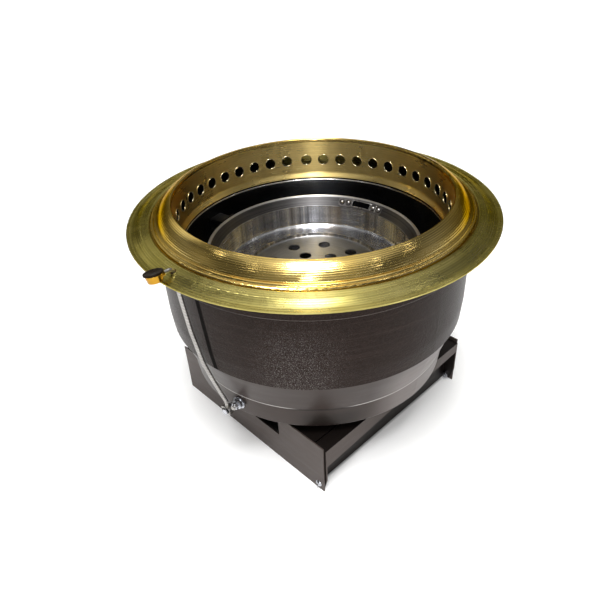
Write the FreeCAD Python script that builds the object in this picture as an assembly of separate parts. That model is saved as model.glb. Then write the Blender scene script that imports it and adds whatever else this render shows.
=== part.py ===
import FreeCAD, Part
import os
from math import sin, cos, tan, radians, sqrt, pi
from FreeCAD import Vector

# Table-recessed down-draught charcoal grill. Millimetres, +Z up.
# The origin is on the axis of the round grill, on the plane the base stands on,
# at the mouth of the exhaust spigot. The front (-Y) is the side plate under the
# damper knob; +X is the channel side.

# ---------------------------------------------------------------- dimensions
T = 1.2                      # sheet thickness of the pressed and rolled shells
TB = 1.5                     # sheet thickness of the base

# table flange and smoke ring
R_FLANGE = 200.0
Z_REST = 260.4               # underside of the flat outer rim, which lies on the table
R_GROOVE = 174.8             # step where the smoke ring drops in
Z_SEAT = 264.2               # seat of the smoke ring
R_WALL = 150.0               # perforated inner wall
Z_CREST = 284.8              # top of the rolled rim
Z_WALL_BOTTOM = 232.6
Z_BUTT = 279.0               # where the wall meets the crown
N_HOLES = 42
HOLE_R = 6.6
Z_HOLES = 255.9
HOLE_PITCH = 8.53            # degrees; the pitch across the weld seam is wider
HOLE_AZ0 = 215.9             # azimuth of the first hole
SEAM = 1.3                   # degrees added across the seam

# casing
R_BARREL = 171.8
R_C1, Z_C1 = 170.3, 147.8    # crease where the wall turns in
R_DRUM_TOP = 168.9
R_C2, Z_C2 = 154.9, 105.2    # second crease
R_C3, Z_C3 = 151.7, 76.6     # bottom
R_COLLAR = 176.0
Z_COLLAR = 236.2

# liner, fire bowl, grate
R_LINER = 147.5
Z_LINER_TOP = 229.4
Z_LINER_BOTTOM = 155.0
R_BOWL_RIM = 121.8
Z_BOWL_RIM = 219.4
R_BAND, Z_BAND = 110.6, 208.0
Z_BOWL_FLOOR = 180.1
Z_BOWL_WELL = 167.4
BOWL_T = 1.0
GRATE_T = 1.5
GRATE_R = 78.4
GRATE_HOLE_R = 7.3

# base
BXL, BXR = 122.0, 127.0      # ends of the front and rear plates, left and right of the axis
BYF, BYR = 122.0, 126.0      # outer faces of the front and rear plates
Z_PLATE = 68.0
NOTCH_L, NOTCH_R = 53.0, 57.0   # sides of the notch
Z_NOTCH = 38.0
X_WEB = {1: 114.0, -1: 107.0}   # web and lip of the right (1) and the left (-1) channel
X_LIP = {1: 129.0, -1: 122.0}
Z_CHANNEL = 64.2
LIP_F, LIP_B = 25.5, 13.5    # the lip narrows towards the rear
Z_DECK = 61.0
DECK_GAP = 2.5
BOLT_X, BOLT_Z = 119.0, 7.4
SPACER = [(96, a) for a in (45, 135, 225, 315)]
LEG_R = 118.0
LEG_AZ = (12, 132, 222, 325)

# exhaust and damper
R_DUCT = 60.0                # spigot
R_THROAT = 61.2              # duct above the spigot
Z_SPIGOT = 59.8              # top of the spigot's wall
Z_DUCT_TOP = 112.0
SHAFT_AZ = -78.0             # azimuth of the damper shaft
Z_SHAFT = 95.0
SHAFT_R = 4.0
RUN = 0.08                   # radial running clearance of the shaft in its bushes
FLAP_R = 58.8
CRANK = 14.0                 # crank radius
CRANK_REST = 40.0            # degrees the crank hangs below horizontal, flap closed
FLAP_RANGE = 65.0            # degrees the flap turns
PIN_R = 2.0
SLOT_GAP = 0.6               # clearance above and below the crank pin in its slot
ROD_R = 2.2
ARM_R = 1.9                  # turned-down end of the rod, in the knob
KNOB_LEAN = -13.0            # degrees the knob is turned about the arm
KNOB = (4.0, -203.5)
Z_ARM = 268.0
ROD_DIR = Vector(-0.083, -0.033, 0.996)   # travel of the damper rod
ROD_DIR.normalize()
ROD_RANGE = CRANK * (sin(radians(CRANK_REST)) + sin(radians(FLAP_RANGE - CRANK_REST))) / ROD_DIR.z

os.makedirs("parts", exist_ok=True)
O = Vector(0, 0, 0)
Z = Vector(0, 0, 1)


# ---------------------------------------------------------------- helpers
def V(x, y, z=0.0):
    return Vector(x, y, z)


def cyl(r, h, p, d=Z):
    return Part.makeCylinder(r, h, p, d)


def box(x0, y0, z0, x1, y1, z1):
    return Part.makeBox(x1 - x0, y1 - y0, z1 - z0, V(x0, y0, z0))


def tube(ro, ri, h, p, d=Z):
    s = Vector(d)
    s.normalize()
    return cyl(ro, h, p, d).cut(cyl(ri, h + 2, p - s, d))


def norm(a):
    l = sqrt(a[0] * a[0] + a[1] * a[1])
    return (a[0] / l, a[1] / l)


def chain(P):
    """Edges of an open polyline in the XZ plane whose vertices are (r, z, fillet)."""
    pts = [V(p[0], 0, p[1]) for p in P]
    edges = []
    cur = pts[0]
    for i in range(1, len(P) - 1):
        rf = P[i][2]
        a = pts[i - 1] - pts[i]
        a.normalize()
        b = pts[i + 1] - pts[i]
        b.normalize()
        ang = a.getAngle(b)
        if rf < 0.03 or pi - ang < 0.01:
            if (pts[i] - cur).Length > 1e-4:
                edges.append(Part.LineSegment(cur, pts[i]).toShape())
            cur = pts[i]
            continue
        tl = rf / tan(ang / 2)
        s = pts[i] + a * tl
        e = pts[i] + b * tl
        m = a + b
        m.normalize()
        c = pts[i] + m * (rf / sin(ang / 2))
        if (s - cur).Length > 1e-4:
            edges.append(Part.LineSegment(cur, s).toShape())
        edges.append(Part.Arc(s, c - m * rf, e).toShape())
        cur = e
    edges.append(Part.LineSegment(cur, pts[-1]).toShape())
    return edges


def offset(P, t):
    """The polyline moved t to its left, with its fillets made to match."""
    n = len(P)
    d = [norm((P[i + 1][0] - P[i][0], P[i + 1][1] - P[i][1])) for i in range(n - 1)]
    Q = []
    for i in range(n):
        if i == 0 or i == n - 1:
            k = d[0] if i == 0 else d[-1]
            Q.append((P[i][0] - k[1] * t, P[i][1] + k[0] * t, 0))
            continue
        a, b = d[i - 1], d[i]
        nx, ny = -a[1] - b[1], a[0] + b[0]
        l2 = (nx * nx + ny * ny) / 2.0
        cross = a[0] * b[1] - a[1] * b[0]
        rf = P[i][2]
        if rf > 0:
            rf = max(rf - t, 0) if cross * t > 0 else rf + abs(t)
        Q.append((P[i][0] + nx * t / l2, P[i][1] + ny * t / l2, rf))
    return Q


def shell(P, t):
    """Sheet of thickness |t| on the left (t > 0) of the profile P, turned about Z."""
    Q = offset(P, t)
    if abs(P[-1][0]) < 1e-6:
        Q[-1] = (0.0, Q[-1][1], 0)
    es = chain(P)
    es += [Part.LineSegment(V(P[-1][0], 0, P[-1][1]), V(Q[-1][0], 0, Q[-1][1])).toShape()]
    es += list(reversed(chain(Q)))
    es += [Part.LineSegment(V(Q[0][0], 0, Q[0][1]), V(P[0][0], 0, P[0][1])).toShape()]
    w = Part.Wire(Part.__sortEdges__(es))
    return Part.Face(w).revolve(O, Z, 360)


def poly_rev(pts, angle=360.0, start=0.0):
    w = Part.makePolygon([V(p[0], 0, p[1]) for p in pts] + [V(pts[0][0], 0, pts[0][1])])
    s = Part.Face(w).revolve(O, Z, angle)
    if start:
        s.rotate(O, Z, start)
    return s


def polar(r, az, z):
    return V(r * cos(radians(az)), r * sin(radians(az)), z)


def bar(P, rad):
    """Round bar along straight runs joined by tangent arcs. P holds (Vector, bend)."""
    edges = []
    cur = P[0][0]
    for i in range(1, len(P) - 1):
        p, rf = P[i]
        a = P[i - 1][0] - p
        a.normalize()
        b = P[i + 1][0] - p
        b.normalize()
        ang = a.getAngle(b)
        tl = rf / tan(ang / 2)
        s, e = p + a * tl, p + b * tl
        m = a + b
        m.normalize()
        c = p + m * (rf / sin(ang / 2))
        edges.append(Part.LineSegment(cur, s).toShape())
        edges.append(Part.Arc(s, c - m * rf, e).toShape())
        cur = e
    edges.append(Part.LineSegment(cur, P[-1][0]).toShape())
    w = Part.Wire(edges)
    prof = Part.Wire(Part.makeCircle(rad, P[0][0], P[1][0] - P[0][0]))
    s = w.makePipeShell([prof], True, False)
    print("bar length %.1f volume %.1f section x length %.1f" % (w.Length, s.Volume, pi * rad * rad * w.Length))
    return s


def hexagon(af, h, p, d, bore=0.0):
    """Hexagon of width af across its flats, chamfered at its outer end, along d from p."""
    R = af / sqrt(3.0)
    w = Part.makePolygon([V(R * cos(radians(60 * k + 30)), R * sin(radians(60 * k + 30)), 0) for k in range(7)])
    s = Part.Face(w).extrude(V(0, 0, h))
    s = s.common(Part.makeCone(R + 0.2, R - 0.35, 1.0, V(0, 0, h - 1.0), Z).fuse(cyl(R + 0.2, h - 1.0, V(0, 0, 0))))
    if bore:
        s = s.cut(cyl(bore, h + 2, V(0, 0, -1)))
    s.Placement = FreeCAD.Placement(p, FreeCAD.Rotation(Z, d))
    return s


def dome(r, h, p, d):
    """Low domed screw or rivet head of radius r and height h, standing on p along d."""
    R = (r * r + h * h) / (2 * h)
    s = Part.makeSphere(R, V(0, 0, h - R)).common(cyl(r, h + 1, V(0, 0, 0)))
    s.Placement = FreeCAD.Placement(p, FreeCAD.Rotation(Z, d))
    return s


def group(L):
    return Part.makeCompound(L)


def out(name, s):
    if s.ShapeType == "Compound" and len(s.Solids) == 1:
        s = s.Solids[0]
    bb = s.BoundBox
    print("%-26s solids %d valid %s vol %9.1f  z %.1f..%.1f" % (
        name, len(s.Solids), s.isValid(), s.Volume, bb.ZMin, bb.ZMax))
    s.exportStep("parts/%s.step" % name)


er = V(cos(radians(SHAFT_AZ)), sin(radians(SHAFT_AZ)), 0)
et = V(-sin(radians(SHAFT_AZ)), cos(radians(SHAFT_AZ)), 0)


def loc(r, t, z):
    """A point given along the damper shaft, across it, and up."""
    return er * r + et * t + V(0, 0, z)


# ---------------------------------------------------------------- table flange
# pressed brass ring: flat outer rim, rising band, groove, seat and skirt
flange = shell([(R_FLANGE, Z_REST + T, 0), (193.6, Z_REST + T, 4), (189.6, 263.1, 4), (185.0, 265.2, 3),
                (176.8, 266.9, 0.9), (175.2, 266.0, 0.5), (R_GROOVE, Z_SEAT, 0.5), (169.4, Z_SEAT, 1.6),
                (169.4, 230.0, 0)], T)

# route of the damper rod: arm on the flange, down through it, along the casing
P0 = V(4.5, -184.7, Z_ARM)
P1 = P0 - ROD_DIR * 34
pin_t = -CRANK * cos(radians(CRANK_REST))
pin_z = Z_SHAFT - CRANK * sin(radians(CRANK_REST))
blk_r = 164.0
pb = loc(blk_r, pin_t - 0.6, 0)
rod = bar([(P0 - ROD_DIR * 6.4, 0), (P1, 60), (V(11.5, -182.2, 198), 60),
           (V(17.8, -179.0, 160), 50), (V(21.0, -173.6, 135.5), 45), (V(22.7, -165.4, 106), 20),
           (V(pb.x, pb.y, 97.0), 10), (V(pb.x, pb.y, pin_z + 4.4), 0)], ROD_R)
arm = bar([(V(KNOB[0], KNOB[1] + 2.5, Z_ARM), 0), (P0, 4.0), (P0 - ROD_DIR * 7.4, 0)], ARM_R)
rod = rod.fuse(arm).removeSplitter()
guide_c = P0 - ROD_DIR * 4
flange = flange.cut(cyl(3.1, 24, guide_c - ROD_DIR * 12, ROD_DIR))
out("table_flange", flange)

# guide sleeve of the rod, fixed under the flange
g0 = P0 - ROD_DIR * 15
sleeve = cyl(4.6, 13, g0, ROD_DIR).fuse(cyl(7.0, 2.6, g0 + ROD_DIR * 9.4, ROD_DIR))
sleeve = sleeve.cut(cyl(ROD_R + 0.3, 30, g0 - ROD_DIR * 2, ROD_DIR))
over = poly_rev([(178.0, 300), (178.0, 265.35), (184.7, 263.95), (189.3, 261.85), (193.3, Z_REST), (200, Z_REST), (200, 300)])
sleeve = sleeve.cut(over).removeSplitter()
sleeve = sorted(sleeve.Solids, key=lambda s: -s.Volume)[0]
out("rod_guide", sleeve)

# ---------------------------------------------------------------- smoke ring
# a spun crown and a rolled, perforated wall butt-welded under its crest
crown = shell([(173.9, Z_SEAT, 0), (173.9, 267.7, 1.3), (171.0, 267.9, 0.5), (170.3, 269.5, 0.8), (166.8, 269.8, 0.5),
               (161.4, 280.6, 26), (150.0, Z_CREST, 1.9), (R_WALL, Z_BUTT, 0)], T)
out("smoke_ring_crown", crown)
wall = shell([(R_WALL, Z_BUTT, 0), (R_WALL, 238.6, 4.0), (147.3, Z_WALL_BOTTOM + 1.4, 1.3), (146.6, Z_WALL_BOTTOM, 0)], T)
hole_az = [HOLE_AZ0 - HOLE_PITCH * k - (SEAM if k >= 9 else 0) for k in range(N_HOLES)]
wall = wall.cut([cyl(HOLE_R, 12, polar(R_WALL - 5, a, Z_HOLES), polar(1, a, 0)) for a in hole_az])
out("smoke_ring_wall", wall)

# ---------------------------------------------------------------- casing
collar = shell([(172.0, 261.8, 0), (R_COLLAR, 261.8, 1.6), (R_COLLAR, Z_COLLAR, 1.4), (R_BARREL + 0.2, Z_COLLAR, 0)], T)
out("barrel_collar", collar)

barrel = shell([(R_BARREL, Z_SEAT - T - 0.6, 0), (R_BARREL, 168.0, 60), (R_C1, Z_C1, 0)], -T)
out("outer_barrel", barrel)

drum = shell([(R_DRUM_TOP, 160.0, 0), (R_DRUM_TOP, 148.6, 2), (R_C2, Z_C2, 4), (R_C3, Z_C3, 2.6), (R_THROAT + 0.2, Z_C3, 0)], -T)
w_r = R_C3 + (R_C2 - R_C3) * (Z_SHAFT - Z_C3) / (Z_C2 - Z_C3)      # drum wall at the shaft
drum = drum.cut(cyl(6.5, 12, loc(w_r - 7, 0, Z_SHAFT), er))
drum = drum.cut([cyl(3.2, 8, polar(r, a, Z_C3 - 2)) for r, a in SPACER])
drum = drum.cut([cyl(2.3, 8, polar(LEG_R, a, Z_C3 - 2)) for a in LEG_AZ])
out("lower_drum", drum)

# ---------------------------------------------------------------- liner and what carries it
liner = shell([(R_LINER, Z_LINER_TOP, 0), (R_LINER, Z_LINER_BOTTOM, 14), (0, Z_LINER_BOTTOM, 0)], -T)
rim = Part.makeTorus(R_LINER - 0.6, 1.0, V(0, 0, Z_LINER_TOP + 0.1), Z)
liner = liner.fuse(rim).removeSplitter()
liner = liner.cut([cyl(2.3, 8, polar(LEG_R, a, Z_LINER_BOTTOM - 2)) for a in LEG_AZ])
out("inner_liner", liner)

legs, leg_screws = [], []
z_f = Z_C3 + T
leg_h = Z_LINER_BOTTOM - z_f
for a in LEG_AZ:
    x0, x1 = LEG_R - 10, LEG_R + 10
    p = Part.makePolygon([V(x0, 0, z_f), V(x1, 0, z_f), V(x1, 0, z_f + leg_h), V(x0, 0, z_f + leg_h), V(x0, 0, z_f + leg_h - TB),
                          V(x1 - TB, 0, z_f + leg_h - TB), V(x1 - TB, 0, z_f + TB), V(x0, 0, z_f + TB), V(x0, 0, z_f)])
    s = Part.Face(p).extrude(V(0, 20, 0))
    s.translate(V(0, -10, 0))
    s = s.cut([cyl(2.3, 6, V(LEG_R, 0, z_f - 1)), cyl(2.3, 6, V(LEG_R, 0, z_f + leg_h - 4)),
               cyl(4.0, 6, V(x1 - 4, 0, z_f + leg_h * 0.35), V(1, 0, 0)), cyl(4.0, 6, V(x1 - 4, 0, z_f + leg_h * 0.65), V(1, 0, 0))])
    s.rotate(O, Z, a)
    legs.append(s)
    c = polar(LEG_R, a, 0)
    for zz, up in ((Z_LINER_BOTTOM + T, 1), (Z_C3, -1)):
        hd = dome(4.2, 2.4, V(c.x, c.y, zz), V(0, 0, up))
        sh = cyl(2.2, 4.6, V(c.x, c.y, zz - 4.4 if up > 0 else zz - 0.2))
        leg_screws.append(hd.fuse(sh).removeSplitter())
out("liner_legs", group(legs))
out("liner_screws", group(leg_screws))

# hoop that the fire bowl stands on
z_h = Z_LINER_BOTTOM + T
hoop = tube(62.0, 60.5, Z_BOWL_WELL - BOWL_T - z_h, V(0, 0, z_h))
for k in range(6):
    b = box(50, -9, z_h + 3, 70, 9, Z_BOWL_WELL - 4)
    b.rotate(O, Z, 60 * k + 15)
    hoop = hoop.cut(b)
out("bowl_stand", hoop)

# centring brackets on the liner wall, one each side of the bowl rim
r_i = R_LINER - T
brackets = [poly_rev([(r_i, 200), (r_i, 215.2), (124.0, 215.2), (124.0, 219.6), (122.6, 219.6), (122.6, 213.8),
                      (r_i - T, 213.8), (r_i - T, 200)], 8.0, a - 4.0) for a in (-167.0, 13.0)]
out("bowl_brackets", group(brackets))

# ---------------------------------------------------------------- fire bowl
bowl = shell([(R_BOWL_RIM, 215.2, 0), (R_BOWL_RIM, Z_BOWL_RIM, 1.5), (118.9, Z_BOWL_RIM, 1.3), (R_BAND, Z_BAND, 2.5),
              (110.2, Z_BOWL_FLOOR, 5.0), (70.0, Z_BOWL_FLOOR, 2.0), (67.5, Z_BOWL_WELL, 5.0), (0, Z_BOWL_WELL, 0)], BOWL_T)
# lifting slots: a riveted bracket with a rectangular window on the sloping band, and the slot behind it
bx0, bz0 = 118.9, Z_BOWL_RIM
bl = sqrt((bx0 - R_BAND) ** 2 + (bz0 - Z_BAND) ** 2)
ux, uz = (R_BAND - bx0) / bl, (Z_BAND - bz0) / bl   # down the band
nx, nz = uz, -ux                                     # towards the axis


def band(s, n):
    """A point on the sloping band: s down it, n off its inner face."""
    return (bx0 + ux * s + nx * n, bz0 + uz * s + nz * n)


LIFT_AZ = (102.5, 282.5)
lift, rivets = [], []
for a in LIFT_AZ:
    s = poly_rev([band(2.0, 0.0), band(13.0, 0.0), band(13.0, 1.3), band(2.0, 1.3)], 31.0, a - 15.5)
    for sg in (-1, 1):
        c = band(7.5, 0)
        az = a + sg * 13.4
        d = V(nx * cos(radians(az)), nx * sin(radians(az)), nz)
        endc = cyl(5.5, 8, polar(c[0], az, c[1]) - d * 4, d)
        wedge = poly_rev([band(0, -2), band(15, -2), band(15, 4), band(0, 4)], 2.6, a + sg * 14.7 - 1.3)
        s = s.cut(wedge.cut(endc))
        for k in (0, 1):
            az = a + sg * (13.2 - 4.2 * k)
            c1 = band(7.5, 1.4)
            p1 = polar(c1[0], az, c1[1])
            d1 = V(nx * cos(radians(az)), nx * sin(radians(az)), nz)
            rivets.append(dome(2.5, 1.5, p1, d1).fuse(cyl(1.5, 3.6, p1 - d1 * 3.4, d1)).removeSplitter())
            s = s.cut(cyl(1.5, 8, p1 - d1 * 4, d1))
            bowl = bowl.cut(cyl(1.5, 8, p1 - d1 * 5, d1))
    win = poly_rev([band(3.7, -4), band(11.3, -4), band(11.3, 4), band(3.7, 4)], 12.4, a - 6.2)
    s = s.cut(win)
    bowl = bowl.cut(win)
    lift.append(s)
out("fire_bowl", bowl)
out("bowl_lift_brackets", group(lift))
out("bowl_lift_rivets", group(rivets))

grate = shell([(GRATE_R, Z_BOWL_FLOOR + 5.4, 0), (77.0, Z_BOWL_FLOOR + GRATE_T, 2.2), (0, Z_BOWL_FLOOR + GRATE_T, 0)], GRATE_T)
gh = [cyl(GRATE_HOLE_R, 10, V(0, 0, Z_BOWL_FLOOR - 4))]
gh += [cyl(GRATE_HOLE_R, 10, polar(31.0, 96 + 60 * k, Z_BOWL_FLOOR - 4)) for k in range(6)]
gh += [cyl(GRATE_HOLE_R, 10, polar(55.5, 82 + 40 * k, Z_BOWL_FLOOR - 4)) for k in range(9)]
grate = grate.cut(gh)
out("charcoal_grate", grate)


# ---------------------------------------------------------------- base
def side_plate(sy):
    s = box(-BXL, 0, 0, BXR, TB, Z_PLATE)
    s = s.cut(box(-NOTCH_L, -1, Z_NOTCH, NOTCH_R, TB + 1, Z_PLATE + 1))
    s = s.cut(cyl(2.6, 6, V(BOLT_X, -2, BOLT_Z), V(0, 1, 0)))
    s.translate(V(0, -BYF if sy < 0 else BYR - TB, 0))
    return s


front_plate = side_plate(-1)
out("base_side_plate_front", front_plate)
out("base_side_plate_rear", side_plate(1))


def channel(sx):
    web, lip = X_WEB[sx], X_LIP[sx]
    y0, y1 = -(BYF - TB), BYR - TB                # inner faces of the side plates
    prof = [(web - 14, 0), (web, 0), (web, Z_CHANNEL - TB), (lip - TB, Z_CHANNEL - TB), (lip - TB, Z_CHANNEL - LIP_F),
            (lip, Z_CHANNEL - LIP_F), (lip, Z_CHANNEL), (web - TB, Z_CHANNEL), (web - TB, TB), (web - 14, TB)]
    w = Part.makePolygon([V(p[0], 0, p[1]) for p in prof] + [V(prof[0][0], 0, prof[0][1])])
    s = Part.Face(w).extrude(V(0, y1 - y0 - 4.4, 0))
    s.translate(V(0, y0 + 2.2, 0))
    # lower edge of the lip, rising towards the rear
    taper = Part.makePolygon([V(lip - TB - 1, y0 + 2.2, Z_CHANNEL - LIP_F), V(lip - TB - 1, y1, Z_CHANNEL - LIP_F),
                              V(lip - TB - 1, y1, Z_CHANNEL - LIP_B), V(lip - TB - 1, y0 + 2.2, Z_CHANNEL - LIP_F)])
    s = s.cut(Part.Face(taper).extrude(V(TB + 2, 0, 0)))
    # end tabs against the side plates, over a stand-off, with a chamfered lower corner
    for sg in (-1, 1):
        low = 0.0 if sg < 0 else 4.0
        t = Part.makePolygon([V(web - TB, 0, low), V(lip - 4.5, 0, low), V(lip, 0, low + 17), V(lip, 0, Z_CHANNEL), V(web - TB, 0, Z_CHANNEL),
                              V(web - TB, 0, low)])
        t = Part.Face(t).extrude(V(0, TB, 0))
        y = y0 + 1.0 if sg < 0 else y1 - 1.0 - TB
        t.translate(V(0, y, 0))
        bx = BOLT_X if sx > 0 else (web + lip) / 2
        pad = cyl(5.0, 1.0, V(bx, y0 if sg < 0 else y1 - 1.0, BOLT_Z), V(0, 1, 0))
        if low:
            pad = pad.common(box(0, -200, low, 200, 200, 90))
        s = s.fuse(t).fuse(pad)
        if sx > 0:
            s = s.cut(cyl(2.6, 12, V(bx, y - 5, BOLT_Z), V(0, 1, 0)))
    s = s.removeSplitter()
    if sx < 0:
        s = s.mirror(O, V(1, 0, 0))
    return s


out("base_channel_right", channel(1))
out("base_channel_left", channel(-1))

deck = box(-(X_WEB[-1] - TB - DECK_GAP), -(BYF - TB), Z_DECK, X_WEB[1] - TB - DECK_GAP, BYR - TB, Z_DECK + TB)
deck = deck.cut(cyl(R_THROAT + 0.2, 10, V(0, 0, Z_DECK - 4)))
deck = deck.cut([cyl(3.2, 8, polar(r, a, Z_DECK - 3)) for r, a in SPACER])
out("base_deck", deck)

bolts, nuts = [], []
for sg in (-1, 1):
    d = V(0, sg, 0)
    by = BYF if sg < 0 else BYR
    face = V(BOLT_X, sg * by, BOLT_Z)
    bolts.append(dome(4.2, 2.6, face, d).fuse(cyl(2.5, 9.5, face - d * 9.3, d)).removeSplitter())
    nuts.append(hexagon(8.0, 4.0, V(BOLT_X, sg * (by - TB - 1.0 - TB), BOLT_Z), d * -1, 2.5))
out("base_bolts", group(bolts))
out("base_nuts", group(nuts))

# spacers and bolts between the deck and the drum
out("drum_spacers", group([tube(8.0, 3.2, Z_C3 - Z_DECK - TB, polar(r, a, Z_DECK + TB)) for r, a in SPACER]))
drum_bolts, drum_nuts = [], []
for r, a in SPACER:
    p = polar(r, a, 0)
    head = hexagon(10.0, 4.0, V(p.x, p.y, Z_DECK), V(0, 0, -1))
    drum_bolts.append(head.fuse(cyl(3.0, Z_C3 + T + 7 - Z_DECK, V(p.x, p.y, Z_DECK - 0.1))).removeSplitter())
    drum_nuts.append(hexagon(10.0, 4.6, V(p.x, p.y, Z_C3 + T), V(0, 0, 1), 3.0))
out("drum_bolts", group(drum_bolts))
out("drum_nuts", group(drum_nuts))

# ---------------------------------------------------------------- exhaust and damper
duct = poly_rev([(R_DUCT - T, 0), (R_DUCT, 0), (R_DUCT, Z_SPIGOT), (R_THROAT, 61.0), (R_THROAT, Z_DUCT_TOP), (R_THROAT - T, Z_DUCT_TOP),
                 (R_THROAT - T, 61.6), (R_DUCT - T, 60.4)])
duct = duct.fuse(tube(R_THROAT + 11, R_THROAT - 0.6, T, V(0, 0, Z_C3 + T))).removeSplitter()
duct = duct.cut([cyl(6.2, 14, loc(R_THROAT - 7, 0, Z_SHAFT), er), cyl(6.2, 14, loc(-R_THROAT + 7, 0, Z_SHAFT), er * -1)])
out("exhaust_duct", duct)

# bushes: one in the drum wall, one in each wall of the duct
bush = cyl(6.3, 9.0, loc(w_r - 4.5, 0, Z_SHAFT), er).fuse(cyl(9.0, 1.6, loc(w_r - 4.9, 0, Z_SHAFT), er))
bush = bush.fuse(cyl(7.4, 2.2, loc(w_r + 0.9, 0, Z_SHAFT), er)).cut(cyl(SHAFT_R + RUN, 20, loc(w_r - 10, 0, Z_SHAFT), er)).removeSplitter()
out("shaft_bush_drum", bush)
duct_bushes = []
for sg in (-1, 1):
    d = er * sg
    c = cyl(6.1, 6.8, loc(0, 0, Z_SHAFT) + d * (R_THROAT - T - 0.4), d).fuse(cyl(8.5, 2.0, loc(0, 0, Z_SHAFT) + d * (R_THROAT + 1.4), d))
    duct_bushes.append(c.cut(cyl(SHAFT_R + RUN, 20, loc(0, 0, Z_SHAFT) + d * (R_THROAT - 8), d)).removeSplitter())
out("shaft_bushes_duct", group(duct_bushes))

r_step = w_r + 4.9                     # shoulder of the shaft, where the crank sits
shaft = cyl(SHAFT_R, r_step + 68.0, loc(-68.0, 0, Z_SHAFT), er)
shaft = shaft.fuse(cyl(2.5, 8.6, loc(r_step - 0.1, 0, Z_SHAFT), er)).removeSplitter()
# flat that the flap is screwed to
flat = Part.makeBox(2 * FLAP_R + 0.6, 12, 4, V(-FLAP_R - 0.3, -6, Z_SHAFT + 2.6))
flat.rotate(O, Z, SHAFT_AZ)
shaft = shaft.cut(flat)
z_flap = Z_SHAFT + 2.6
flap = cyl(FLAP_R, TB, V(0, 0, z_flap))
flap_screws = []
for rr in (-32, 32):
    c = loc(rr, 0, 0)
    flap = flap.cut(cyl(2.05, 6, V(c.x, c.y, z_flap - 2)))
    shaft = shaft.cut(cyl(2.05, 12, V(c.x, c.y, Z_SHAFT - 6)))
    flap_screws.append(dome(3.8, 2.2, V(c.x, c.y, z_flap + TB), Z).fuse(cyl(2.0, TB + 6.8, V(c.x, c.y, z_flap - 6.7))).removeSplitter())
out("damper_shaft", shaft)
out("damper_flap", flap)
out("flap_screws", group(flap_screws))

# crank: a rounded plate on the shaft's shoulder, held by a nut
c0 = loc(r_step, 0, Z_SHAFT)
pin_p = loc(r_step, pin_t, pin_z)
arm_dir = pin_p - c0
arm_dir.normalize()
side = arm_dir.cross(er)
crank = cyl(5.6, 2.0, c0, er).fuse(cyl(4.6, 2.0, pin_p, er))
w = Part.makePolygon([c0 + side * 5.2 + arm_dir * 1.5, pin_p + side * 4.5, pin_p - side * 4.5, c0 - side * 5.2 + arm_dir * 1.5,
                      c0 + side * 5.2 + arm_dir * 1.5])
crank = crank.fuse(Part.Face(w).extrude(er * 2.0)).removeSplitter()
crank = crank.cut([cyl(2.5, 6, c0 - er * 2, er), cyl(PIN_R, 6, pin_p - er * 2, er)])
out("damper_crank", crank)
pin = cyl(PIN_R, 10.4, pin_p, er).fuse(cyl(3.4, 1.4, pin_p + er * 9.6, er)).removeSplitter()
out("crank_pin", pin)
shaft_nut = hexagon(7.0, 4.0, loc(r_step + 2.0, 0, Z_SHAFT), er, 2.5)
out("shaft_nut", shaft_nut)

# block on the rod's lower end, with the slot that the crank pin runs in
s0, s1 = pin_t - 3.2, pin_t + 2.0
bw0, bw1 = s0 - PIN_R - 1.3, s1 + PIN_R + 1.3
blk = Part.makeBox(6.0, bw1 - bw0, 8.8, V(blk_r - 3.0, bw0, pin_z - 4.4))
blk = blk.makeFillet(1.0, [e for e in blk.Edges if abs(e.tangentAt(e.FirstParameter).x) > 0.9])
sr = PIN_R + SLOT_GAP
slot = cyl(sr, 12, V(blk_r - 6, s0, pin_z), V(1, 0, 0)).fuse(cyl(sr, 12, V(blk_r - 6, s1, pin_z), V(1, 0, 0)))
slot = slot.fuse(box(blk_r - 6, s0, pin_z - sr, blk_r + 6, s1, pin_z + sr))
blk = blk.cut(slot).removeSplitter()
blk.rotate(O, Z, SHAFT_AZ)
out("rod_end_block", blk)
out("damper_rod", rod)

# knob: fluted tapered body with a hub for the rod, and a dished disc on top
kz0, kz1 = Z_ARM - 4.8, Z_ARM + 3.0
k = Part.makeCone(7.2, 8.6, kz1 - kz0, V(KNOB[0], KNOB[1], kz0))
k = k.makeFillet(0.8, [e for e in k.Edges if e.Closed])
for i in range(6):
    a = radians(60 * i + 30)
    p = V(KNOB[0] + 10.2 * cos(a), KNOB[1] + 10.2 * sin(a), kz0 - 1)
    q = V(KNOB[0] + 12.2 * cos(a), KNOB[1] + 12.2 * sin(a), kz1 + 1)
    k = k.cut(cyl(3.4, (q - p).Length, p, q - p))
k = k.fuse(cyl(2.8, 9.6, V(KNOB[0], KNOB[1], Z_ARM), V(0.5 / 18.8, 1, 0))).removeSplitter()
k = k.common(box(-50, -250, kz0, 50, -150, kz1))
k.rotate(V(KNOB[0], KNOB[1], Z_ARM), V(0.5 / 18.8, 1, 0), KNOB_LEAN)
k = k.cut(rod)
out("damper_knob", k)
kd = cyl(9.6, 1.6, V(KNOB[0], KNOB[1], kz1))
kd = kd.makeFillet(0.6, [e for e in kd.Edges if e.Closed and e.CenterOfMass.z > kz1 + 1])
kd = kd.cut(Part.makeSphere(60.0, V(KNOB[0], KNOB[1], kz1 + 1.6 + 60.0 - 0.5)))
kd.rotate(V(KNOB[0], KNOB[1], Z_ARM), V(0.5 / 18.8, 1, 0), KNOB_LEAN)
out("knob_disc", kd)
print("flap range", FLAP_RANGE, "rod range", ROD_RANGE, "ratio rad/m", radians(FLAP_RANGE) / ROD_RANGE * 1000)
print("shaft axis", er, "rod travel", ROD_DIR, "pin", pin_p)
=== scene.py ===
import math

import bpy
from mathutils import Matrix, Vector


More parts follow.
